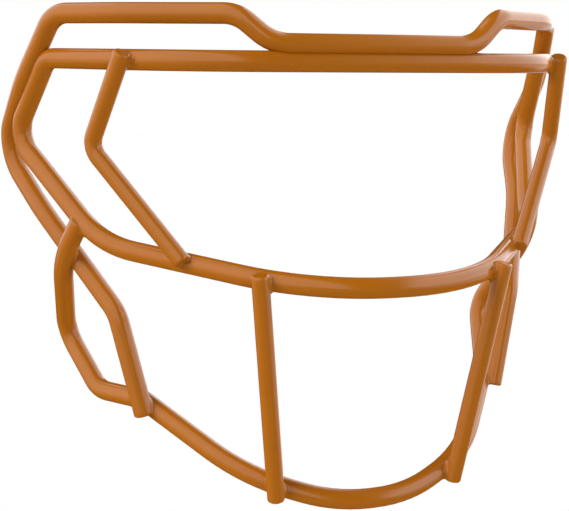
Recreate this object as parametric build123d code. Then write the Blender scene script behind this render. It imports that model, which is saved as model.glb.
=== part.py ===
from build123d import *
from math import radians, tan
import os

# Football helmet facemask: bent steel wires welded where they cross, under a thin polymer coat.
# Millimetres. +X is the right as seen from the front, -Y the front, +Z up.
# The origin is the middle of the brow bar's centre line, on the mask's plane of symmetry.
# Places are given for the +X half; x is a half width, y a set-back behind the brow, z a height.

# Wire and coat
main_wire_d = 5.7
light_wire_d = 4.75
coat_t = 0.65
end_bevel = 0.7

# Eye loop: brow bar, temples, cheeks and nose bar in one closed wire
brow_bend_x = 67.3
brow_corner_x = 98.9
brow_corner_y = 58.7
temple_x = 106.2
temple_y = 81.0
temple_z = -28.2
cheek_x = 84.7
cheek_y = 39.6
cheek_z = -63.5
nose_x = 29.4
nose_y = -21.4
nose_z = -72.8
brow_bend_r = 52.4
brow_corner_r = 7.9
temple_r = 10.1
cheek_r = 43.8
nose_r = 62.0
nose_flat = 1.5
butt_weld_t = 1.2

# Top rail: seated on the brow bar in the middle, raised either side, then down past the cheeks
rail_seat_x = 37.0
rail_jog_x = 48.0
rail_jog_y = 4.1
rail_z = 15.3
rail_bend_x = 82.1
rail_bend_y = 29.5
rail_corner_x = 97.8
rail_corner_y = 51.9
rail_side_x = 105.1
rail_side_y = 69.5
rail_side_z = -8.0
rail_temple_x = 107.9
rail_temple_y = 95.2
rail_temple_z = -33.5
rail_cheek_x = 98.7
rail_cheek_y = 72.5
rail_cheek_z = -54.5
rail_jaw_x = 79.0
rail_jaw_y = 41.6
rail_jaw_z = -88.2
rail_foot_r = 14.6
rail_jog_r = 11.9
rail_bend_r = 45.7
rail_corner_r = 12.3
rail_side_r = 62.9
rail_temple_r = 13.9
rail_cheek_r = 89.6
rail_jaw_r = 11.6
rail_end_past = 2.0

# Chin bar: from the cheeks back, down and round the chin
chin_back_x = 88.1
chin_back_y = 82.8
chin_back_z = -101.9
chin_heel_x = 80.3
chin_heel_y = 63.3
chin_heel_z = -121.0
chin_jaw_x = 69.5
chin_jaw_y = 43.3
chin_jaw_z = -120.7
chin_side_x = 42.1
chin_side_y = 8.7
chin_side_z = -141.9
chin_front_x = 13.4
chin_front_y = -3.5
chin_front_z = -150.4
chin_top_r = 50.0
chin_back_r = 9.2
chin_heel_r = 10.9
chin_jaw_r = 4.3
chin_side_r = 65.0
chin_front_r = 50.0
chin_end_past = 0.4
chin_top_run = 0.3

# Eye corner bars, each from the brow bar to the nose bar with one bend
eye_bend_x = 89.7
eye_bend_y = 34.0
eye_bend_z = -29.3
eye_bend_r = 7.0
eye_top_past = 3.4
eye_foot_past = -2.1

# Uprights, each straight from the nose bar to the chin bar
upright_top_past = 3.5
upright_foot_past = 3.2

# Where the bars cross, as shares of the whole length of the bar that lies inside
eye_on_brow_share = 0.1316
eye_on_nose_share = 0.3889
upright_on_nose_share = 0.4311
upright_on_chin_share = 0.4158

# Where the bars cross, as shares of the inside bar's run from one bend to the next
chin_on_cheek_share = 0.7955
chin_on_rail_share = 0.4422
rail_on_chin_share = 0.0901

# How far a bar's end is coped down into the bar inside it, past wire touching wire
eye_nose_sink = 1.3
upright_sink = 0.2
chin_cheek_sink = 4.2
rail_chin_sink = 1.0

# Welds: a bead in the wider corner of each crossing, and short runs behind the rail's seat
weld_r = 2.6
weld_out = 3.6
weld_h = 2.8
seat_weld_x = 24.0
seat_weld_run = 12.0
seat_weld_r = 1.9
seat_weld_back = 3.1

# Passes that settle a bar's slant where it lies across two others
settle_passes = 12

main_r = main_wire_d / 2 + coat_t
light_r = light_wire_d / 2 + coat_t
# Steel touches steel at a crossing, so the centre lines lie the wires' half sums apart
main_stack = main_wire_d
light_stack = (main_wire_d + light_wire_d) / 2
eye_nose_stack = light_stack - eye_nose_sink
upright_stack = light_stack - upright_sink
chin_cheek_stack = main_stack - chin_cheek_sink
rail_chin_stack = main_stack - rail_chin_sink

brow_bend = Vector(brow_bend_x, 0, 0)
brow_corner = Vector(brow_corner_x, brow_corner_y, 0)
temple = Vector(temple_x, temple_y, temple_z)
cheek = Vector(cheek_x, cheek_y, cheek_z)
nose = Vector(nose_x, nose_y, nose_z)
rail_seat = Vector(rail_seat_x, 0, main_stack)
rail_jog = Vector(rail_jog_x, rail_jog_y, rail_z)
rail_bend = Vector(rail_bend_x, rail_bend_y, rail_z)
rail_corner = Vector(rail_corner_x, rail_corner_y, rail_z)
rail_side = Vector(rail_side_x, rail_side_y, rail_side_z)
rail_temple = Vector(rail_temple_x, rail_temple_y, rail_temple_z)
rail_cheek = Vector(rail_cheek_x, rail_cheek_y, rail_cheek_z)
rail_jaw = Vector(rail_jaw_x, rail_jaw_y, rail_jaw_z)
chin_back = Vector(chin_back_x, chin_back_y, chin_back_z)
chin_heel = Vector(chin_heel_x, chin_heel_y, chin_heel_z)
chin_jaw = Vector(chin_jaw_x, chin_jaw_y, chin_jaw_z)
chin_side = Vector(chin_side_x, chin_side_y, chin_side_z)
chin_front = Vector(chin_front_x, chin_front_y, chin_front_z)
eye_bend = Vector(eye_bend_x, eye_bend_y, eye_bend_z)
head_centre = Vector(0, brow_corner_y, cheek_z)


def mirrored(point):
    """The same place on the -X half."""
    return Vector(-point.X, point.Y, point.Z)


def toward(start, end, length):
    """The point a given length from start on the way to end."""
    return start + (end - start).normalized() * length


def outward(direction, place):
    """A unit vector along direction, turned to point away from the wearer's head."""
    unit = direction.normalized()
    return unit if unit.dot(place - head_centre) > 0 else unit * -1


def on_path(path, share):
    """Place and direction of a bar's centre line at a share of its length."""
    return path @ share, path % share


def on_run(start, end, share):
    """Place and direction at a share of the straight run between two bends."""
    return start + (end - start) * share, (end - start).normalized()


def crossing(inner, corner, stack):
    """Centre of the bar that comes straight from corner and lies outside the inner bar."""
    place, along = inner
    centre = place
    for _ in range(settle_passes):
        centre = place + outward(along.cross(centre - corner), place) * stack
    return centre


def bridge(first, second, first_stack, second_stack):
    """Centres of a straight bar's two crossings, outside a first and a second inner bar."""
    start = first[0]
    end = second[0]
    for _ in range(settle_passes):
        start = crossing(first, end, first_stack)
        end = crossing(second, start, second_stack)
    return start, end


def bar(path, radius):
    """A round bar along a path of straight runs and tangent arcs."""
    return sweep(Plane(origin=path @ 0, z_dir=path % 0) * Circle(radius), path=path)


def free_bar(path, radius):
    """A bar whose two cut ends have their edges bevelled."""
    solid = bar(path, radius)
    return chamfer(solid.faces().filter_by(GeomType.PLANE).edges(), end_bevel)


def bead(inner, centre, corner, bars):
    """A weld bead in the wider corner between the inner bar and the outer bar's run to corner."""
    run = (corner - centre).normalized()
    along = inner[1] * (-1 if run.dot(inner[1]) > 0 else 1)
    middle = (inner[0] + centre) / 2 + (run + along).normalized() * weld_out
    lump = Plane(origin=middle, z_dir=centre - inner[0]) * Cylinder(weld_r, weld_h)
    for solid in bars:
        lump -= solid
    return lump.solids().sort_by(SortBy.VOLUME)[-1]


def seat_bead(across, bars):
    """A weld bead along the rear crease between the rail and the brow bar."""
    crease = Pos(across, seat_weld_back, main_stack / 2)
    run = crease * Rot(Y=90) * Cylinder(seat_weld_r, seat_weld_run)
    for solid in bars:
        run -= solid
    return run


def other_side(solid):
    """The mirror image across the plane of symmetry."""
    return mirror(solid, about=Plane.YZ)


# Centre lines: the eye loop, closed by a butt weld in the middle of the brow
loop_half = [brow_bend, brow_corner, temple, cheek, nose]
# The nose bends' arcs leave a short straight run between them
nose_angle = (cheek - nose).get_angle(mirrored(nose) - nose)
nose_widest_r = (nose_x - nose_flat / 2) * tan(radians(nose_angle / 2))
loop_radii = [brow_bend_r, brow_corner_r, temple_r, cheek_r, min(nose_r, nose_widest_r)]
loop_start = Vector(butt_weld_t / 2, 0, 0)
loop_places = [loop_start] + loop_half + [mirrored(p) for p in reversed(loop_half)] + [mirrored(loop_start)]
loop_path = FilletPolyline(*loop_places, radius=loop_radii + loop_radii[::-1])

# The chin bar's upper ends lie across the loop's cheeks and the rail
cheek_seat = on_run(temple, cheek, chin_on_cheek_share)
rail_side_seat = on_run(rail_cheek, rail_jaw, chin_on_rail_share)
chin_on_cheek, chin_on_rail = bridge(cheek_seat, rail_side_seat, chin_cheek_stack, main_stack)
chin_end = toward(chin_on_cheek, chin_on_rail, -chin_end_past)
chin_top = toward(chin_on_rail, chin_on_cheek, -chin_top_run)
chin_half = [chin_end, chin_top, chin_back, chin_heel, chin_jaw, chin_side, chin_front]
chin_radii = [chin_top_r, chin_back_r, chin_heel_r, chin_jaw_r, chin_side_r, chin_front_r]
chin_path = FilletPolyline(*chin_half, *[mirrored(p) for p in reversed(chin_half)],
                           radius=chin_radii + chin_radii[::-1])

# The rail's lower ends lie outside the chin bar
jaw_seat = on_run(chin_jaw, chin_side, rail_on_chin_share)
rail_on_chin = crossing(jaw_seat, rail_jaw, rail_chin_stack)
rail_end = toward(rail_on_chin, rail_jaw, -rail_end_past)
rail_half = [rail_seat, rail_jog, rail_bend, rail_corner, rail_side, rail_temple, rail_cheek, rail_jaw, rail_end]
rail_radii = [rail_foot_r, rail_jog_r, rail_bend_r, rail_corner_r, rail_side_r,
              rail_temple_r, rail_cheek_r, rail_jaw_r]
rail_path = FilletPolyline(*[mirrored(p) for p in reversed(rail_half)], *rail_half,
                           radius=rail_radii[::-1] + rail_radii)

# Eye corner bar and upright of the +X half
brow_seat = on_path(loop_path, eye_on_brow_share)
nose_side_seat = on_path(loop_path, eye_on_nose_share)
eye_on_brow = crossing(brow_seat, eye_bend, light_stack)
eye_on_nose = crossing(nose_side_seat, eye_bend, eye_nose_stack)
eye_path = FilletPolyline(toward(eye_on_brow, eye_bend, -eye_top_past), eye_bend,
                          toward(eye_on_nose, eye_bend, -eye_foot_past), radius=eye_bend_r)
nose_front_seat = on_path(loop_path, upright_on_nose_share)
chin_front_seat = on_path(chin_path, upright_on_chin_share)
upright_on_nose, upright_on_chin = bridge(nose_front_seat, chin_front_seat, upright_stack, upright_stack)
upright_path = Polyline(toward(upright_on_nose, upright_on_chin, -upright_top_past),
                        toward(upright_on_chin, upright_on_nose, -upright_foot_past))

# Bars: the outer bar at each crossing is coped over the inner one
loop = bar(loop_path, main_r)
loop_butt = Rot(Y=90) * Cylinder(main_r, butt_weld_t)
chin_whole = free_bar(chin_path, main_r)
chin_below = split(chin_whole, Plane.XY.offset(rail_jaw_z), keep=Keep.BOTTOM)
rail = free_bar(rail_path, main_r) - loop - loop_butt - chin_below
chin = chin_whole - loop - rail
eye_bar = free_bar(eye_path, light_r) - loop
upright = free_bar(upright_path, light_r) - loop - chin

# Weld beads of the +X half, each named for what it joins
beads = {
    "weld_eye_bar_brow": bead(brow_seat, eye_on_brow, eye_bend, [loop, eye_bar]),
    "weld_eye_bar_nose": bead(nose_side_seat, eye_on_nose, eye_bend, [loop, eye_bar]),
    "weld_upright_nose": bead(nose_front_seat, upright_on_nose, upright_on_chin, [loop, upright]),
    "weld_upright_chin": bead(chin_front_seat, upright_on_chin, upright_on_nose, [chin, upright]),
    "weld_chin_cheek": bead(cheek_seat, chin_on_cheek, chin_on_rail, [loop, chin, rail]),
    "weld_chin_rail": bead(rail_side_seat, chin_on_rail, chin_back, [rail, chin, loop]),
    "weld_rail_chin": bead(jaw_seat, rail_on_chin, rail_jaw, [chin, rail]),
    "weld_rail_brow": seat_bead(seat_weld_x, [loop, rail]),
}
paired = {"eye_corner_bar": eye_bar, "upright": upright} | beads

parts = {
    "eye_loop": loop,
    "top_rail": rail,
    "chin_bar": chin,
    "weld_loop_butt": loop_butt,
    "weld_rail_brow_centre": seat_bead(0, [loop, rail, loop_butt]),
}
for name, solid in paired.items():
    parts[name + "_right"] = solid
    parts[name + "_left"] = other_side(solid)

if __name__ == "__main__":
    os.makedirs("parts", exist_ok=True)
    for name, solid in parts.items():
        export_step(solid, f"parts/{name}.step")
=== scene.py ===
from math import radians

import bpy
import numpy as np
from bpy.props import FloatProperty, FloatVectorProperty, IntProperty, PointerProperty
from bpy.types import Operator, Panel, PropertyGroup
from mathutils import Matrix, Vector


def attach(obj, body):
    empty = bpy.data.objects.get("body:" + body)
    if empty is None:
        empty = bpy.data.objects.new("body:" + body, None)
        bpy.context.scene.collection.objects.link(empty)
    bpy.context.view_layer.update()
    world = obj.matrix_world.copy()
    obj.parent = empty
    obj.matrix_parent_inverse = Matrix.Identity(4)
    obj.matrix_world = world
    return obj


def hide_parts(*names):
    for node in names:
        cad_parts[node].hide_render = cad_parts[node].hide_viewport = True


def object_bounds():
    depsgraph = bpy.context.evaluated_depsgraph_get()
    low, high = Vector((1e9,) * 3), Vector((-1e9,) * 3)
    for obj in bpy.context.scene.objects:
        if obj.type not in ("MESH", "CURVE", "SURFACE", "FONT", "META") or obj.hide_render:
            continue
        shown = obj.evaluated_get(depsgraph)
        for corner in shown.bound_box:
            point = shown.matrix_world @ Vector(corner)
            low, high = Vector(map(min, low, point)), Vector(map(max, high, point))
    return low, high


bl_info = {
    "name": "Football Helmet Facemask",
    "version": (1, 0, 0),
    "blender": (4, 5, 0),
    "location": "3D View > Sidebar > Facemask",
    "description": "Coated wire facemask with welded crossings, and its studio",
    "category": "Object",
}

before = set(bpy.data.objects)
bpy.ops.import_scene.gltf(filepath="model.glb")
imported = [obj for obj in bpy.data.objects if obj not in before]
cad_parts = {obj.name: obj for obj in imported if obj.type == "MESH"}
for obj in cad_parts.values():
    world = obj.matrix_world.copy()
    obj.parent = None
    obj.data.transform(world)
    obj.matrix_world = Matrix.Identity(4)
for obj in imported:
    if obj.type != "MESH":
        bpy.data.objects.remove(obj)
CAD_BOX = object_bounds()

MM = 0.001
SIDES = {"right": 1.0, "left": -1.0}
# Rounds of the searches that settle a bar's crossings and a weld's reach
CROSSING_ROUNDS = 12
WELD_ROUNDS = 40
# Share of a bar's length to each side of a place that its direction there is read from
DIRECTION_SHARE = 0.001
# Rings on a cut end's flat face, as shares of its radius
END_FACE_SHARES = (0.45, 0.97)
# Points of a centre line that lie closer than this are one
SAME_PLACE = 1e-7
# The least length that is divided by
TINY = 1e-9
# Rings closer to a cut end than this many of its rim's radii are left out
END_CLEAR = 1.3
# A bar that runs on past a crossing counts as this many metres long there
NO_END = 1.0
NO_TRIANGLES = np.zeros((0, 3), int)


def bend_place(name, description, x, y, z):
    """A bend point of the +X half, stored in metres from millimetres."""
    return FloatVectorProperty(name=name, description=description, subtype="TRANSLATION", unit="LENGTH",
                               default=(x * MM, y * MM, z * MM), precision=5)


def length(name, description, value):
    """A length, stored in metres from millimetres."""
    return FloatProperty(name=name, description=description, unit="LENGTH", default=value * MM, precision=5)


def share(name, description, value):
    """A share of a bar's length."""
    return FloatProperty(name=name, description=description, subtype="FACTOR", min=0.0, max=1.0,
                         default=value, precision=4)


def colour(name, description, value):
    """A colour for a finish."""
    return FloatVectorProperty(name=name, description=description, subtype="COLOR", size=3, min=0.0,
                               max=1.0, default=value)


def number(name, description, value):
    """A plain number, such as a light's strength or a height in a direction of length 1."""
    return FloatProperty(name=name, description=description, default=value)


def factor(name, description, value):
    """A number from 0 to 1 that isn't a place along a bar."""
    return FloatProperty(name=name, description=description, subtype="FACTOR", min=0.0, max=1.0,
                         default=value)


def angle_in_degrees(name, description, degrees):
    """An angle, stored in radians from degrees."""
    return FloatProperty(name=name, description=description, subtype="ANGLE", default=radians(degrees))


def direction(name, description, value):
    """A direction of light."""
    return FloatVectorProperty(name=name, description=description, subtype="DIRECTION", default=value)


def whole_number(name, description, value, least=1):
    """A whole number."""
    return IntProperty(name=name, description=description, default=value, min=least)


class FacemaskWire(PropertyGroup):
    main_steel: length("Main steel", "Bare diameter of the loop, rail and chin wires", 5.7)
    light_steel: length("Light steel", "Bare diameter of the eye corner bars and uprights", 4.75)
    coat: length("Coat", "Thickness of the polymer coat", 0.65)
    end_round: length("End round", "Radius round a cut end's rim", 0.9)
    end_rings: whole_number("End rings", "Rings round a cut end's rim", 7, 3)
    around: whole_number("Around", "Faces round a bar", 56, 12)
    step: length("Step", "Longest face along a bar", 2.5)
    turn: angle_in_degrees("Turn", "Largest turn between two rings in a bend", 4.0)


class FacemaskLoop(PropertyGroup):
    brow_bend: bend_place("Brow bend", "Where the brow bar turns back", 67.3, 0, 0)
    brow_corner: bend_place("Brow corner", "Outer end of the brow bar", 98.9, 58.7, 0)
    temple: bend_place("Temple", "Rearmost bend of the eye loop", 106.2, 81.0, -28.2)
    cheek: bend_place("Cheek", "Bend from the temple run to the nose bar", 84.7, 39.6, -63.5)
    nose: bend_place("Nose", "Bend of the nose bar", 29.4, -21.4, -72.8)
    brow_bend_round: length("Brow bend round", "Centre line radius of the brow bend", 52.4)
    brow_corner_round: length("Brow corner round", "Centre line radius of the brow corner", 7.9)
    temple_round: length("Temple round", "Centre line radius of the temple bend", 10.1)
    cheek_round: length("Cheek round", "Centre line radius of the cheek bend", 43.8)
    nose_round: length("Nose round", "Centre line radius of the nose bar's bend", 62.0)
    nose_flat: length("Nose flat", "Shortest straight run in the middle of the nose bar", 1.5)
    butt_weld: length("Butt weld", "Length of the weld that closes the loop", 1.2)


class FacemaskRail(PropertyGroup):
    seat_x: length("Seat half width", "Half width of the rail's seat on the brow bar", 37.0)
    jog: bend_place("Jog", "Top of the rail's jog", 48.0, 4.1, 15.3)
    bend: bend_place("Bend", "Slight bend of the raised rail", 82.1, 29.5, 15.3)
    corner: bend_place("Corner", "Outer corner of the raised rail", 97.8, 51.9, 15.3)
    side: bend_place("Side", "Bend of the rail beside the temple", 105.1, 69.5, -8.0)
    temple: bend_place("Temple", "Rearmost bend of the rail", 107.9, 95.2, -33.5)
    cheek: bend_place("Cheek", "Bend of the rail beside the cheek", 98.7, 72.5, -54.5)
    jaw: bend_place("Jaw", "Bend of the rail over the jaw", 79.0, 41.6, -88.2)
    foot_round: length("Foot round", "Centre line radius at the jog's foot", 14.6)
    jog_round: length("Jog round", "Centre line radius at the jog's top", 11.9)
    bend_round: length("Bend round", "Centre line radius of the slight bend", 45.7)
    corner_round: length("Corner round", "Centre line radius of the outer corner", 12.3)
    side_round: length("Side round", "Centre line radius beside the temple", 62.9)
    temple_round: length("Temple round", "Centre line radius of the rearmost bend", 13.9)
    cheek_round: length("Cheek round", "Centre line radius beside the cheek", 89.6)
    jaw_round: length("Jaw round", "Centre line radius of the jaw bend", 11.6)
    end_past: length("End past", "How far the end passes the chin bar's centre line", 2.0)


class FacemaskChin(PropertyGroup):
    back: bend_place("Back", "Rearmost bend of the chin bar", 88.1, 82.8, -101.9)
    heel: bend_place("Heel", "Bend below the rearmost one", 80.3, 63.3, -121.0)
    jaw: bend_place("Jaw", "Bend under the jaw", 69.5, 43.3, -120.7)
    side: bend_place("Side", "Bend at the side of the chin", 42.1, 8.7, -141.9)
    front: bend_place("Front", "Bend in front of the chin", 13.4, -3.5, -150.4)
    top_round: length("Top round", "Centre line radius below the upper end", 50.0)
    back_round: length("Back round", "Centre line radius of the rearmost bend", 9.2)
    heel_round: length("Heel round", "Centre line radius of the heel bend", 10.9)
    jaw_round: length("Jaw round", "Centre line radius of the jaw bend", 4.3)
    side_round: length("Side round", "Centre line radius of the side bend", 65.0)
    front_round: length("Front round", "Centre line radius of the front bend", 50.0)
    end_past: length("End past", "How far the upper end passes the cheek's centre line", 0.4)
    top_run: length("Top run", "From the rail's crossing to the first bend point", 0.3)
    cheek_share: share("Cheek seat", "Place of the upper end along the loop's cheek run", 0.7955)
    rail_share: share("Rail seat", "Place of the crossing along the rail's side run", 0.4422)
    cheek_sink: length("Cheek sink", "How far the end is coped into the cheek", 4.2)
    rail_foot_share: share("Rail foot", "Place of the rail's end along the jaw run", 0.0901)
    rail_sink: length("Rail sink", "How far the rail's end is coped into the chin bar", 1.0)


class FacemaskLightBars(PropertyGroup):
    eye_bend: bend_place("Eye bend", "The one bend of an eye corner bar", 89.7, 34.0, -29.3)
    eye_round: length("Eye round", "Centre line radius of that bend", 7.0)
    eye_brow_share: share("Brow seat", "Place of the bar's top along the eye loop", 0.1316)
    eye_nose_share: share("Nose seat", "Place of the bar's foot along the eye loop", 0.3889)
    eye_nose_sink: length("Nose sink", "How far the foot is coped into the nose bar", 1.3)
    eye_top_past: length("Top past", "How far the top passes the brow bar", 3.4)
    eye_foot_past: length("Foot past", "How far the foot passes the nose bar", -2.1)
    upright_nose_share: share("Upright top", "Place of the upright's top along the eye loop", 0.4311)
    upright_chin_share: share("Upright foot", "Place of the upright's foot along the chin bar", 0.4158)
    upright_sink: length("Upright sink", "How far an upright is coped into the bars", 0.2)
    upright_top_past: length("Upright top past", "How far the top passes the nose bar", 3.5)
    upright_foot_past: length("Upright foot past", "How far the foot passes the chin bar", 3.2)


class FacemaskWelds(PropertyGroup):
    fillet: length("Fillet", "Radius of the hollow weld between two bars", 1.3)
    sink: length("Sink", "How far a weld's edge lies under the bars' skin", 0.06)
    search: length("Search", "How far from a crossing a weld may reach", 30.0)
    around: whole_number("Around", "Faces round a weld", 160, 24)
    across: whole_number("Across", "Faces across a weld", 10, 4)
    seat_x: length("Seat weld", "Half distance of the outer seat welds", 24.0)
    seat_run: length("Seat weld run", "Length of a seat weld", 12.0)
    seat_round: length("Seat weld round", "Radius of a seat weld", 2.0)
    seat_back: length("Seat weld back", "How far a seat weld lies behind the brow", 2.9)
    seat_around: whole_number("Seat weld around", "Faces round a seat weld", 24, 8)
    seat_rings: whole_number("Seat weld rings", "Faces along a seat weld", 24, 8)


class FacemaskCoat(PropertyGroup):
    orange: colour("Orange", "Main colour of the coat", (0.395, 0.121, 0.004))
    deep_orange: colour("Deep orange", "Colour where the coat lies thicker", (0.37, 0.111, 0.004))
    roughness: factor("Roughness", "Least roughness of the coat", 0.14)
    rough_spread: factor("Roughness spread", "What the ripple adds to the roughness", 0.08)
    peel: length("Peel", "Height of the coat's fine ripple", 0.02)
    peel_strength: factor("Peel strength", "Share of the ripple that shows", 0.25)
    peel_scale: number("Peel scale", "Ripples to a metre", 900.0)
    drift_scale: number("Drift scale", "Drifts of colour to a metre", 45.0)
    detail: number("Detail", "Finer layers in the ripple and the drift", 2.0)


class FacemaskStudio(PropertyGroup):
    floor: colour("Floor", "Colour of the floor", (0.97, 0.97, 0.97))
    floor_rough: factor("Floor roughness", "Roughness of the floor", 0.9)
    floor_drop: length("Floor drop", "How far the floor lies below the mask", 260.0)
    floor_half: length("Floor half", "Half width of the floor", 6000.0)
    sky: number("Sky", "Even light on the matt side of the coat", 0.34)
    left_wall: number("Left wall", "Light of the studio's left side", 1.35)
    right_wall: number("Right wall", "Light of the studio's right side", 2.4)
    turn_width: number("Turn width", "Half width of the step between the walls", 0.3)
    gap_middle: number("Gap middle", "Side way of the dim band's middle", 0.2)
    gap_half: number("Gap half", "Half width of the dim band", 0.27)
    gap_edge: number("Gap edge", "Half width of the dim band's soft edges", 0.05)
    side_start: number("Side start", "Side way where the low walls start", 0.35)
    side_end: number("Side end", "Side way where the low walls are full", 0.75)
    side_foot: number("Side foot", "Height where the low walls start", -0.5)
    side_top: number("Side top", "Height where the low walls are full", -0.3)
    side_light: factor("Side light", "Light of the low walls as a share of the walls' own", 0.4)
    horizon: number("Horizon", "Height of the horizon's soft edge", -0.06)
    horizon_edge: number("Horizon edge", "Half width of the horizon's soft edge", 0.03)
    sun: number("Sun", "Strength of the main light", 2.8)
    sun_angle: angle_in_degrees("Sun angle", "Width of both lights", 40.0)
    sun_way: direction("Sun way", "Way of the main light", (1.0, 0.15, -0.7))
    fill: number("Fill", "Strength of the light from the right", 1.0)
    fill_way: direction("Fill way", "Way of the light from the right", (-1.0, 0.4, -0.35))
    camera: FloatVectorProperty(name="Camera", description="Place of the camera", subtype="TRANSLATION",
                                unit="LENGTH", default=(-0.19462, -0.41639, 0.00357), precision=5)
    azimuth: angle_in_degrees("Azimuth", "Turn of the camera round the mask", -21.309)
    elevation: angle_in_degrees("Elevation", "Height angle of the camera", 8.595)
    roll: angle_in_degrees("Roll", "Roll of the camera", 0.644)
    focal_pixels: number("Focal length", "Focal length in picture pixels", 1357.1)
    picture_width: whole_number("Picture width", "Width of the picture in pixels", 569)
    sensor: number("Sensor", "Width of the sensor in mm", 36.0)
    clip_start: length("Clip start", "Nearest distance that the camera sees", 10.0)
    clip_end: length("Clip end", "Farthest distance that the camera sees", 50000.0)


class FacemaskSettings(PropertyGroup):
    wire: PointerProperty(type=FacemaskWire, name="Wire", description="Wires and coat")
    loop: PointerProperty(type=FacemaskLoop, name="Eye loop", description="Bends of the eye loop")
    rail: PointerProperty(type=FacemaskRail, name="Top rail", description="Bends of the top rail")
    chin: PointerProperty(type=FacemaskChin, name="Chin bar", description="Bends of the chin bar")
    light: PointerProperty(type=FacemaskLightBars, name="Light bars",
                           description="Eye corner bars and uprights")
    welds: PointerProperty(type=FacemaskWelds, name="Welds", description="Welds at the crossings")
    coat: PointerProperty(type=FacemaskCoat, name="Coat", description="Colour and finish")
    studio: PointerProperty(type=FacemaskStudio, name="Studio", description="Floor, lights and camera")


def unit(vectors):
    """Vectors divided by their own lengths."""
    vectors = np.asarray(vectors, float)
    return vectors / np.linalg.norm(vectors, axis=-1, keepdims=True)


def point(value):
    """A bend point as an array."""
    return np.array(value[:], float)


def mirrored(places):
    """The same places on the -X half, in reverse order."""
    return [p * (-1, 1, 1) for p in reversed(places)]


def along_arc(before, corner, after, radius, turn):
    """Points on the arc that rounds a corner: centre O lies radius / cos(half turn) from the
    corner towards the inside, and the arc is O + radius * (-n cos(a) + d sin(a)), a from 0 to
    the turn, with d the way in and n the way towards the centre."""
    way_in = unit(corner - before)
    way_out = unit(after - corner)
    bend = np.arccos(np.clip(way_in @ way_out, -1.0, 1.0))
    inward = unit(way_out - way_in * (way_in @ way_out))
    start = corner - way_in * radius * np.tan(bend / 2)
    centre = start + inward * radius
    angles = np.linspace(0.0, bend, max(3, int(np.ceil(bend / turn)) + 1))[:, None]
    return centre + radius * (way_in * np.sin(angles) - inward * np.cos(angles))


def widest_round(before, corner, after, run):
    """The largest radius whose arc keeps to a run from the corner: run * tan(half the angle)."""
    angle = np.arccos(unit(before - corner) @ unit(after - corner))
    return run * np.tan(angle / 2)


def centre_line(places, radii, wire):
    """A bar's centre line through its bend points, each rounded by an arc, with the straight
    runs divided so that no step is longer than the wire's."""
    arcs = [along_arc(before, corner, after, radius, wire.turn)
            for before, corner, after, radius in zip(places, places[1:], places[2:], radii)]
    arcs = [places[:1]] + arcs + [places[-1:]]
    line = [np.asarray(arcs[0])]
    for last, arc in zip(arcs, arcs[1:]):
        run = np.linalg.norm(arc[0] - last[-1])
        steps = max(1, int(np.ceil(run / wire.step)))
        shares = np.linspace(0.0, 1.0, steps + 1)[1:-1, None]
        line += [last[-1] + (arc[0] - last[-1]) * shares, arc]
    line = np.concatenate(line)
    apart = np.r_[True, np.linalg.norm(np.diff(line, axis=0), axis=1) > SAME_PLACE]
    return line[apart]


def at_share(line, value):
    """Place and direction at a share of a centre line's length."""
    steps = np.linalg.norm(np.diff(line, axis=0), axis=1)
    runs = np.r_[0.0, np.cumsum(steps)] / steps.sum()
    near = value + np.array([0.0, -DIRECTION_SHARE, DIRECTION_SHARE])
    places = np.stack([np.interp(near, runs, line[:, axis]) for axis in range(3)], axis=1)
    return places[0], unit(places[2] - places[1])


def on_run(start, end, value):
    """Place and direction at a share of the straight run between two bends."""
    return start + (end - start) * value, unit(end - start)


def toward(start, end, distance):
    """The point a distance from start on the way to end."""
    return start + unit(end - start) * distance


def crossing(seat, corner, stack, head):
    """Centre of a straight bar from corner that passes outside the seat's bar: the seat plus
    stack along the common normal of both bars, turned away from the head."""
    place, way = seat
    centre = place
    for _ in range(CROSSING_ROUNDS):
        normal = unit(np.cross(way, centre - corner))
        centre = place + normal * stack * np.sign(normal @ (place - head))
    return centre


def bridge(first, second, first_stack, second_stack, head):
    """Both crossings of a straight bar that lies outside two others."""
    start, end = first[0], second[0]
    for _ in range(CROSSING_ROUNDS):
        start = crossing(first, end, first_stack, head)
        end = crossing(second, start, second_stack, head)
    return start, end


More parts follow.
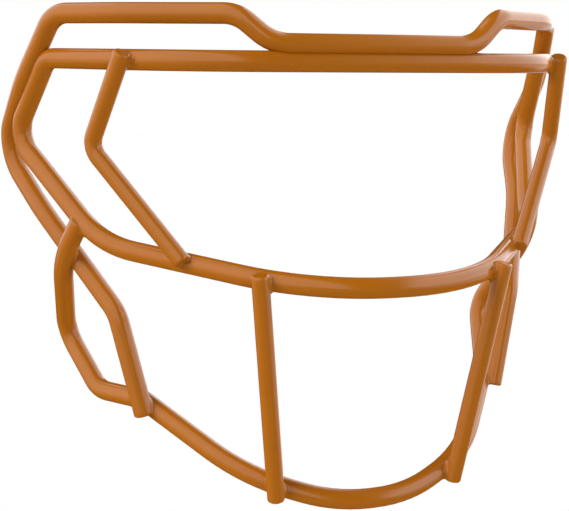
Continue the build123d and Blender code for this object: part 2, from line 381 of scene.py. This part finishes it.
class Layout:
    """Every bar's centre line and every crossing of the +X half, from the settings."""

    def __init__(self, settings):
        wire, loop, rail, chin, light = (settings.wire, settings.loop, settings.rail, settings.chin,
                                         settings.light)
        self.wire = wire
        self.main = wire.main_steel / 2 + wire.coat
        self.thin = wire.light_steel / 2 + wire.coat
        self.head = np.array([0.0, loop.brow_corner[1], loop.cheek[2]])
        main_stack = wire.main_steel
        thin_stack = (wire.main_steel + wire.light_steel) / 2

        half = [point(p) for p in (loop.brow_bend, loop.brow_corner, loop.temple, loop.cheek, loop.nose)]
        widest = widest_round(half[3], half[4], mirrored(half)[0], half[4][0] - loop.nose_flat / 2)
        radii = [loop.brow_bend_round, loop.brow_corner_round, loop.temple_round, loop.cheek_round,
                 min(loop.nose_round, widest)]
        places = half + mirrored(half)
        seam = np.array([loop.butt_weld / 2, 0.0, 0.0])
        self.loop = centre_line([seam] + places + [-seam], radii + radii[::-1], wire)

        jaw_run = [point(rail.cheek), point(rail.jaw)]
        cheek_seat = on_run(point(loop.temple), point(loop.cheek), chin.cheek_share)
        side_seat = on_run(*jaw_run, chin.rail_share)
        on_cheek, on_rail = bridge(cheek_seat, side_seat, main_stack - chin.cheek_sink, main_stack,
                                   self.head)
        half = [toward(on_cheek, on_rail, -chin.end_past), toward(on_rail, on_cheek, -chin.top_run)]
        half += [point(p) for p in (chin.back, chin.heel, chin.jaw, chin.side, chin.front)]
        radii = [chin.top_round, chin.back_round, chin.heel_round, chin.jaw_round, chin.side_round,
                 chin.front_round]
        self.chin = centre_line(half + mirrored(half), radii + radii[::-1], wire)

        foot_seat = on_run(point(chin.jaw), point(chin.side), chin.rail_foot_share)
        on_chin = crossing(foot_seat, jaw_run[1], main_stack - chin.rail_sink, self.head)
        half = [np.array([rail.seat_x, 0.0, main_stack])]
        half += [point(p) for p in (rail.jog, rail.bend, rail.corner, rail.side, rail.temple,
                                    rail.cheek, rail.jaw)]
        half += [toward(on_chin, jaw_run[1], -rail.end_past)]
        radii = [rail.foot_round, rail.jog_round, rail.bend_round, rail.corner_round, rail.side_round,
                 rail.temple_round, rail.cheek_round, rail.jaw_round]
        self.rail = centre_line(mirrored(half) + half, radii[::-1] + radii, wire)

        bend = point(light.eye_bend)
        brow_seat = at_share(self.loop, light.eye_brow_share)
        nose_seat = at_share(self.loop, light.eye_nose_share)
        on_brow = crossing(brow_seat, bend, thin_stack, self.head)
        on_nose = crossing(nose_seat, bend, thin_stack - light.eye_nose_sink, self.head)
        self.eye = centre_line([toward(on_brow, bend, -light.eye_top_past), bend,
                                toward(on_nose, bend, -light.eye_foot_past)], [light.eye_round], wire)

        top_seat = at_share(self.loop, light.upright_nose_share)
        low_seat = at_share(self.chin, light.upright_chin_share)
        stack = thin_stack - light.upright_sink
        top, low = bridge(top_seat, low_seat, stack, stack, self.head)
        self.upright = centre_line([toward(top, low, -light.upright_top_past),
                                    toward(low, top, -light.upright_foot_past)], [], wire)

        # name: seat, centre of the outer bar, its way towards its free end, its radius, its end
        self.crossings = {
            "weld_eye_bar_brow": (brow_seat, on_brow, unit(on_brow - bend), self.thin, light.eye_top_past),
            "weld_eye_bar_nose": (nose_seat, on_nose, unit(on_nose - bend), self.thin, light.eye_foot_past),
            "weld_upright_nose": (top_seat, top, unit(top - low), self.thin, light.upright_top_past),
            "weld_upright_chin": (low_seat, low, unit(low - top), self.thin, light.upright_foot_past),
            "weld_chin_cheek": (cheek_seat, on_cheek, unit(on_cheek - on_rail), self.main, chin.end_past),
            "weld_chin_rail": (side_seat, on_rail, unit(on_cheek - on_rail), self.main, None),
            "weld_rail_chin": (foot_seat, on_chin, unit(on_chin - jaw_run[1]), self.main, rail.end_past),
        }


def grid_faces(rows, columns, closed_rows):
    """Corner numbers of the faces between the rows of a grid whose columns close on themselves."""
    row = np.arange(rows if closed_rows else rows - 1)[:, None]
    column = np.arange(columns)[None, :]
    next_row = (row + 1) % rows
    next_column = (column + 1) % columns
    corners = [row * columns + column, row * columns + next_column, next_row * columns + next_column,
               next_row * columns + column]
    return np.stack([np.broadcast_to(c, (row.size, columns)) for c in corners], axis=-1).reshape(-1, 4)


def mesh_piece(name, points, quads, triangles, material):
    """A smooth shaded mesh object from whole arrays of points and corner numbers."""
    mesh = bpy.data.meshes.new(name)
    corners = np.concatenate([quads.ravel(), triangles.ravel()]).astype(np.int32)
    starts = np.concatenate([np.arange(len(quads)) * 4, quads.size + np.arange(len(triangles)) * 3])
    mesh.vertices.add(len(points))
    mesh.vertices.foreach_set("co", points.astype(np.float32).ravel())
    mesh.loops.add(len(corners))
    mesh.loops.foreach_set("vertex_index", corners)
    mesh.polygons.add(len(starts))
    mesh.polygons.foreach_set("loop_start", starts.astype(np.int32))
    mesh.polygons.foreach_set("use_smooth", np.ones(len(starts), bool))
    mesh.update(calc_edges=True)
    mesh.validate()
    mesh.materials.append(material)
    piece = bpy.data.objects.new(name, mesh)
    bpy.context.scene.collection.objects.link(piece)
    return piece


def ring_frames(line, head, closed):
    """At each point of a centre line: its direction t, and two sides u = t x (P - head) and
    v = t x u, both of length 1, so that u and v turn smoothly along bars that go round a head."""
    if closed:
        ahead = np.roll(line, -1, axis=0)
        behind = np.roll(line, 1, axis=0)
    else:
        ahead = np.concatenate([line[1:], line[-1:]])
        behind = np.concatenate([line[:1], line[:-1]])
    onward = ahead - line + (ahead == line) * (line - behind)
    past = line - behind + (line == behind) * (ahead - line)
    way = unit(unit(onward) + unit(past))
    side = unit(np.cross(way, line - head))
    return way, side, np.cross(way, side)


def closed_bar(name, line, radius, layout, material):
    """A ring shaped bar: P(s, a) = C(s) + radius * (u cos(a) + v sin(a))."""
    way, side, up = ring_frames(line, layout.head, True)
    angles = np.linspace(0.0, 2 * np.pi, layout.wire.around, endpoint=False)[None, :, None]
    points = line[:, None] + radius * (side[:, None] * np.cos(angles) + up[:, None] * np.sin(angles))
    quads = grid_faces(len(line), layout.wire.around, True)
    return mesh_piece(name, points.reshape(-1, 3), quads, NO_TRIANGLES, material)


def free_bar(name, line, radius, layout, material):
    """A bar with rounded cut ends: P(s, a) = C(s) + r(s) * (u cos(a) + v sin(a)), where r grows
    from the flat end over a quarter circle of radius e: r = radius - e + sqrt(e^2 - (e - s)^2)."""
    wire = layout.wire
    edge = wire.end_round
    way, side, up = ring_frames(line, layout.head, False)
    quarter = np.linspace(0.0, np.pi / 2, wire.end_rings)
    depth = np.concatenate([[0.0, 0.0], edge * (1 - np.cos(quarter))])
    reach = np.concatenate([END_FACE_SHARES, np.ones(len(quarter))]) * (radius - edge)
    reach = reach + np.concatenate([[0.0, 0.0], edge * np.sin(quarter)])
    run = np.linalg.norm(line - line[0], axis=1) > edge * END_CLEAR
    run &= np.linalg.norm(line - line[-1], axis=1) > edge * END_CLEAR
    start = line[0] + way[0] * depth[:, None]
    end = (line[-1] - way[-1] * depth[:, None])[::-1]
    places = np.concatenate([start, line[run], end])
    rings = len(depth)
    sides = np.concatenate([np.repeat(side[:1], rings, 0), side[run], np.repeat(side[-1:], rings, 0)])
    ups = np.concatenate([np.repeat(up[:1], rings, 0), up[run], np.repeat(up[-1:], rings, 0)])
    radii = np.concatenate([reach, np.full(run.sum(), radius), reach[::-1]])[:, None, None]
    angles = np.linspace(0.0, 2 * np.pi, wire.around, endpoint=False)[None, :, None]
    points = places[:, None] + radii * (sides[:, None] * np.cos(angles) + ups[:, None] * np.sin(angles))
    quads = grid_faces(len(places), wire.around, False)
    points = np.concatenate([points.reshape(-1, 3), line[:1], line[-1:]])
    first_pole, last_pole = len(points) - 2, len(points) - 1
    column = np.arange(wire.around)
    after = (column + 1) % wire.around
    last_ring = (len(places) - 1) * wire.around
    triangles = np.concatenate([
        np.stack([np.full(wire.around, first_pole), after, column], axis=1),
        np.stack([np.full(wire.around, last_pole), last_ring + column, last_ring + after], axis=1)])
    return mesh_piece(name, points, quads, triangles, material)


def ball_gap(places, centre, way, radius, past, rim):
    """How far places lie from the outer bar's skin, and the way out of it there. The bar is a
    round rod that ends past its crossing's centre with a rounded rim: with x the distance past
    the rim's middle and y the one outside it, the gap is |(max(x, 0), max(y, 0))| - rim."""
    along = (places - centre) @ way
    off = places - centre - along[:, None] * way
    reach = np.linalg.norm(off, axis=1)
    x = along - (past - rim)
    y = reach - (radius - rim)
    outside = np.maximum(x, 0.0)[:, None] * way + (np.maximum(y, 0.0) / reach)[:, None] * off
    size = np.linalg.norm(outside, axis=1)
    return size + np.minimum(np.maximum(x, y), 0.0) - rim, outside / np.maximum(size, TINY)[:, None]


def weld_fillet(name, crossing_data, mirror, layout, welds, material):
    """The hollow weld round the crossing of two bars, as a ball rolled round them leaves it. Its
    centre is K = Q + (d1 + R cos f) e1 + (r1 + q) (n cos g + e2 sin g), with Q on the inner axis,
    e1 along it, n the common normal, e2 across both and d a move back under the outer bar where
    that ends near Q. Unrolled round the inner bar it lies R from d, so g = (d2 + R sin f) /
    (r1 + q), and R is halved down until K keeps q from the outer bar. The skin is the ball's arc
    from its touch on one bar to that on the other. The ball's radius q is larger in the wide
    corners: q = q0 sqrt(2) sin(half the corner)."""
    (seat, inner_way), centre, outer_way, outer_radius, past = crossing_data
    rim = layout.wire.end_round
    normal = unit(centre - seat)
    e1 = unit(inner_way - normal * (inner_way @ normal))
    e2 = np.cross(normal, e1)
    across = outer_way @ e2
    lengthways = outer_way @ e1
    between = np.arctan2(across * np.sign(lengthways), abs(lengthways))
    wide = abs(np.sin(between / 2)), abs(np.cos(between / 2))
    f = np.linspace(0.0, 2 * np.pi, welds.around, endpoint=False)
    ball = welds.fillet / np.sqrt(2) * (sum(wide) - (wide[1] - wide[0]) * np.cos(2 * f - between))
    inner = layout.main - welds.sink + ball
    outer = outer_radius - welds.sink
    end = NO_END if past is None else past
    move = min(end - outer_radius / 2, 0.0) * outer_way

    def ball_centres(reach):
        along = move @ e1 + reach * np.cos(f)
        turn = (move @ e2 + reach * np.sin(f)) / inner
        out = np.cos(turn)[:, None] * normal + np.sin(turn)[:, None] * e2
        return seat + along[:, None] * e1 + inner[:, None] * out

    low = np.zeros(len(f))
    high = np.full(len(f), welds.search)
    for _ in range(WELD_ROUNDS):
        middle = (low + high) / 2
        gap, _ = ball_gap(ball_centres(middle), centre, outer_way, outer, end, rim)
        low = np.where(gap < ball, middle, low)
        high = np.where(gap < ball, high, middle)
    centres = ball_centres(high)
    _, off_outer = ball_gap(centres, centre, outer_way, outer, end, rim)
    off_inner = unit(centres - seat - ((centres - seat) @ e1)[:, None] * e1)
    ball = ball[:, None, None]
    opening = np.arccos(np.clip((off_inner * off_outer).sum(1), -1.0, 1.0))[:, None, None]
    t = np.linspace(0.0, 1.0, welds.across + 1)[None, :, None]
    arc = np.sin((1 - t) * opening) * off_inner[:, None] + np.sin(t * opening) * off_outer[:, None]
    skin = centres[:, None] - ball * arc / np.sin(opening)
    # The ring is closed through the inside of both bars
    sunk_outer = skin[:, -1:] - off_outer[:, None] * ball / 2
    sunk_inner = skin[:, :1] - off_inner[:, None] * ball / 2
    points = np.concatenate([skin, sunk_outer, sunk_inner], axis=1) * (mirror, 1.0, 1.0)
    quads = grid_faces(len(f), points.shape[1], True)
    if mirror > 0:
        quads = quads[:, ::-1]
    return mesh_piece(name, points.reshape(-1, 3), quads, NO_TRIANGLES, material)


def seat_weld(name, across, welds, stack, material):
    """A spindle in the crease: P(x, a) = (x, y0, z0) + r sqrt(1 - (2x / l)^2) (0, cos a, sin a)."""
    angle = np.linspace(0.0, np.pi, welds.seat_rings + 1)[1:-1]
    x = -np.cos(angle) * welds.seat_run / 2
    radius = welds.seat_round * np.sqrt(np.sin(angle))
    around = np.linspace(0.0, 2 * np.pi, welds.seat_around, endpoint=False)
    points = np.stack([
        np.broadcast_to(across + x[:, None], (len(x), len(around))),
        welds.seat_back + radius[:, None] * np.cos(around),
        stack / 2 + radius[:, None] * np.sin(around)], axis=-1).reshape(-1, 3)
    poles = np.array([[across - welds.seat_run / 2, welds.seat_back, stack / 2],
                      [across + welds.seat_run / 2, welds.seat_back, stack / 2]])
    quads = grid_faces(len(x), len(around), False)
    column = np.arange(len(around))
    after = (column + 1) % len(around)
    last = (len(x) - 1) * len(around)
    triangles = np.concatenate([
        np.stack([np.full(len(around), len(points)), after, column], axis=1),
        np.stack([np.full(len(around), len(points) + 1), last + column, last + after], axis=1)])
    return mesh_piece(name, np.concatenate([points, poles]), quads, triangles, material)


class Value:
    """A node socket that Python's arithmetic works on, each operation being a Math node."""

    def __init__(self, paint, socket):
        self.paint = paint
        self.socket = socket

    def __add__(self, other):
        return self.paint.maths("ADD", self, other)

    __radd__ = __add__

    def __sub__(self, other):
        return self.paint.maths("SUBTRACT", self, other)

    def __rsub__(self, other):
        return self.paint.maths("SUBTRACT", other, self)

    def __mul__(self, other):
        return self.paint.maths("MULTIPLY", self, other)

    __rmul__ = __mul__


class Paint:
    """A cleared node tree whose nodes all come from one method."""

    def __init__(self, owner):
        owner.use_nodes = True
        self.owner = owner
        self.tree = owner.node_tree
        self.tree.nodes.clear()

    def node(self, kind, settings=None, sockets=None):
        """Adds a node: its settings first, then the values or links of its sockets."""
        made = self.tree.nodes.new(kind)
        for key, value in (settings or {}).items():
            setattr(made, key, value)
        for key, value in (sockets or {}).items():
            if isinstance(value, Value):
                self.tree.links.new(value.socket, made.inputs[key])
            else:
                made.inputs[key].default_value = value
        return {out.name: Value(self, out) for out in made.outputs if out.enabled}

    def maths(self, operation, first, second=0.0):
        """A Math node's result."""
        return self.node("ShaderNodeMath", {"operation": operation}, {0: first, 1: second})["Value"]

    def smooth(self, value, low, high):
        """0 below low, 1 above high and a smooth step between them."""
        return self.node("ShaderNodeMapRange", {"interpolation_type": "SMOOTHSTEP"}, {
            "Value": value, "From Min": low, "From Max": high})["Result"]


def coat_paint(coat):
    """Satin polymer coat: orange that drifts a little, with a fine ripple."""
    paint = Paint(bpy.data.materials.new("orange coat"))
    place = paint.node("ShaderNodeTexCoord")["Object"]
    drift = paint.node("ShaderNodeTexNoise", {}, {
        "Vector": place, "Scale": coat.drift_scale, "Detail": coat.detail})["Fac"]
    fine = paint.node("ShaderNodeTexNoise", {}, {
        "Vector": place, "Scale": coat.peel_scale, "Detail": coat.detail})["Fac"]
    body = paint.node("ShaderNodeMix", {"data_type": "RGBA"}, {
        0: drift, 6: (*coat.deep_orange, 1.0), 7: (*coat.orange, 1.0)})["Result"]
    ripple = paint.node("ShaderNodeBump", {}, {
        "Height": fine, "Strength": coat.peel_strength, "Distance": coat.peel})["Normal"]
    surface = paint.node("ShaderNodeBsdfPrincipled", {}, {
        "Base Color": body,
        "Roughness": fine * coat.rough_spread + coat.roughness,
        "Normal": ripple,
    })["BSDF"]
    paint.node("ShaderNodeOutputMaterial", {}, {"Surface": surface})
    return paint.owner


def floor_paint(studio):
    """Matt pale floor."""
    paint = Paint(bpy.data.materials.new("studio floor"))
    surface = paint.node("ShaderNodeBsdfPrincipled", {}, {
        "Base Color": (*studio.floor, 1.0), "Roughness": studio.floor_rough})["BSDF"]
    paint.node("ShaderNodeOutputMaterial", {}, {"Surface": surface})
    return paint.owner


def sky_paint(world, studio):
    """A studio seen by direction: white to the camera and even to the matt side of the coat. To its
    gloss it has a bright wall left and right above the horizon, a dim band between them and fainter
    walls far out on either side below the horizon."""
    paint = Paint(world)
    way = paint.node("ShaderNodeTexCoord")["Generated"]
    axes = paint.node("ShaderNodeSeparateXYZ", {}, {"Vector": way})
    x, z = axes["X"], axes["Z"]
    off_gap = paint.maths("ABSOLUTE", x - studio.gap_middle)
    beside = paint.smooth(off_gap, studio.gap_half - studio.gap_edge, studio.gap_half + studio.gap_edge)
    above = paint.smooth(z, studio.horizon - studio.horizon_edge, studio.horizon + studio.horizon_edge)
    right = paint.smooth(x, -studio.turn_width, studio.turn_width)
    walls = studio.left_wall + right * (studio.right_wall - studio.left_wall)
    far_side = paint.smooth(paint.maths("ABSOLUTE", x), studio.side_start, studio.side_end)
    low_side = far_side * paint.smooth(z, studio.side_foot, studio.side_top) * studio.side_light
    lit = paint.maths("MAXIMUM", above * beside, low_side)
    gloss = lit * walls
    ray = paint.node("ShaderNodeLightPath")
    seen, matt = ray["Is Camera Ray"], ray["Is Diffuse Ray"]
    light = seen + matt * studio.sky + (1.0 - seen - matt) * gloss
    background = paint.node("ShaderNodeBackground", {}, {
        "Color": (1.0, 1.0, 1.0, 1.0), "Strength": light})["Background"]
    paint.node("ShaderNodeOutputWorld", {}, {"Surface": background})


def coat_material(settings):
    """The coat's material, made once."""
    return bpy.data.materials.get("orange coat") or coat_paint(settings.coat)


def finish_piece(piece, *nodes, slot="wire_coat"):
    """The piece belongs to the root body and stands for its CAD nodes."""
    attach(piece, "root")
    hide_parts(*nodes)


class FACEMASK_OT_eye_loop(Operator):
    """Builds the closed eye loop"""
    bl_idname = "facemask.eye_loop"
    bl_label = "Eye Loop"

    def execute(self, context):
        settings = context.scene.facemask
        layout = Layout(settings)
        piece = closed_bar("eye_loop_coated", layout.loop, layout.main, layout, coat_material(settings))
        finish_piece(piece, "eye_loop", "weld_loop_butt")
        return {"FINISHED"}


class FACEMASK_OT_top_rail(Operator):
    """Builds the top rail"""
    bl_idname = "facemask.top_rail"
    bl_label = "Top Rail"

    def execute(self, context):
        settings = context.scene.facemask
        layout = Layout(settings)
        piece = free_bar("top_rail_coated", layout.rail, layout.main, layout, coat_material(settings))
        finish_piece(piece, "top_rail")
        return {"FINISHED"}


class FACEMASK_OT_chin_bar(Operator):
    """Builds the chin bar"""
    bl_idname = "facemask.chin_bar"
    bl_label = "Chin Bar"

    def execute(self, context):
        settings = context.scene.facemask
        layout = Layout(settings)
        piece = free_bar("chin_bar_coated", layout.chin, layout.main, layout, coat_material(settings))
        finish_piece(piece, "chin_bar")
        return {"FINISHED"}


class FACEMASK_OT_eye_corner_bars(Operator):
    """Builds both eye corner bars"""
    bl_idname = "facemask.eye_corner_bars"
    bl_label = "Eye Corner Bars"

    def execute(self, context):
        settings = context.scene.facemask
        layout = Layout(settings)
        for side, mirror in SIDES.items():
            line = layout.eye * (mirror, 1, 1)
            piece = free_bar(f"eye_corner_bar_{side}_coated", line, layout.thin, layout,
                             coat_material(settings))
            finish_piece(piece, f"eye_corner_bar_{side}")
        return {"FINISHED"}


class FACEMASK_OT_uprights(Operator):
    """Builds both uprights"""
    bl_idname = "facemask.uprights"
    bl_label = "Uprights"

    def execute(self, context):
        settings = context.scene.facemask
        layout = Layout(settings)
        for side, mirror in SIDES.items():
            line = layout.upright * (mirror, 1, 1)
            piece = free_bar(f"upright_{side}_coated", line, layout.thin, layout, coat_material(settings))
            finish_piece(piece, f"upright_{side}")
        return {"FINISHED"}


class FACEMASK_OT_crossing_welds(Operator):
    """Builds the hollow welds where bars cross"""
    bl_idname = "facemask.crossing_welds"
    bl_label = "Crossing Welds"

    def execute(self, context):
        settings = context.scene.facemask
        layout = Layout(settings)
        for node, crossing_data in layout.crossings.items():
            for side, mirror in SIDES.items():
                piece = weld_fillet(f"{node}_{side}_coated", crossing_data, mirror, layout,
                                    settings.welds, coat_material(settings))
                finish_piece(piece, f"{node}_{side}", slot="weld_coat")
        return {"FINISHED"}


class FACEMASK_OT_seat_welds(Operator):
    """Builds the three welds behind the rail's seat on the brow bar"""
    bl_idname = "facemask.seat_welds"
    bl_label = "Seat Welds"

    def execute(self, context):
        settings = context.scene.facemask
        welds = settings.welds
        for side, across in (("left", -welds.seat_x), ("centre", 0.0), ("right", welds.seat_x)):
            piece = seat_weld(f"weld_rail_brow_{side}_coated", across, welds, settings.wire.main_steel,
                              coat_material(settings))
            finish_piece(piece, f"weld_rail_brow_{side}", slot="weld_coat")
        return {"FINISHED"}


class FACEMASK_OT_studio(Operator):
    """Builds the floor, the lights and the camera"""
    bl_idname = "facemask.studio"
    bl_label = "Studio"

    def execute(self, context):
        scene = context.scene
        studio = scene.facemask.studio
        floor_z = CAD_BOX[0][2] - studio.floor_drop
        half = studio.floor_half
        corners = np.array([[-half, -half, floor_z], [half, -half, floor_z], [half, half, floor_z],
                            [-half, half, floor_z]])
        floor = mesh_piece("studio floor", corners, np.array([[0, 1, 2, 3]]), NO_TRIANGLES,
                           floor_paint(studio))
        floor.visible_glossy = False
        scene.view_settings.view_transform = "Standard"

        scene.world = bpy.data.worlds.new("studio sky")
        sky_paint(scene.world, studio)

        for name, strength, way in (("main light", studio.sun, studio.sun_way),
                                    ("fill light", studio.fill, studio.fill_way)):
            light = bpy.data.lights.new(name, "SUN")
            light.energy = strength
            light.angle = studio.sun_angle
            lamp = bpy.data.objects.new(name, light)
            lamp.rotation_euler = Vector(way).to_track_quat("-Z", "Y").to_euler()
            lamp.visible_glossy = False
            scene.collection.objects.link(lamp)

        camera = bpy.data.cameras.new("camera")
        camera.sensor_width = studio.sensor
        camera.lens = studio.focal_pixels / studio.picture_width * studio.sensor
        camera.clip_start = studio.clip_start
        camera.clip_end = studio.clip_end
        eye = bpy.data.objects.new("camera", camera)
        azimuth = Matrix.Rotation(studio.azimuth, 4, "Z")
        tilt = Matrix.Rotation(radians(90) - studio.elevation, 4, "X")
        roll = Matrix.Rotation(studio.roll, 4, "Z")
        eye.matrix_world = Matrix.Translation(studio.camera) @ azimuth @ tilt @ roll
        scene.collection.objects.link(eye)
        scene.camera = eye
        return {"FINISHED"}


STEPS = (FACEMASK_OT_eye_loop, FACEMASK_OT_top_rail, FACEMASK_OT_chin_bar, FACEMASK_OT_eye_corner_bars,
         FACEMASK_OT_uprights, FACEMASK_OT_crossing_welds, FACEMASK_OT_seat_welds, FACEMASK_OT_studio)


class FACEMASK_PT_panel(Panel):
    """Lists the steps that build the facemask"""
    bl_label = "Facemask"
    bl_idname = "FACEMASK_PT_panel"
    bl_space_type = "VIEW_3D"
    bl_region_type = "UI"
    bl_category = "Facemask"

    def draw(self, context):
        for step in STEPS:
            self.layout.operator(step.bl_idname)


CLASSES = (FacemaskWire, FacemaskLoop, FacemaskRail, FacemaskChin, FacemaskLightBars, FacemaskWelds,
           FacemaskCoat, FacemaskStudio, FacemaskSettings) + STEPS + (FACEMASK_PT_panel,)


def register():
    for cls in CLASSES:
        bpy.utils.register_class(cls)
    bpy.types.Scene.facemask = PointerProperty(type=FacemaskSettings)


def unregister():
    del bpy.types.Scene.facemask
    for cls in reversed(CLASSES):
        bpy.utils.unregister_class(cls)


def main():
    register()
    for step in STEPS:
        group, name = step.bl_idname.split(".")
        getattr(getattr(bpy.ops, group), name)()


if __name__ == "__main__":
    main()
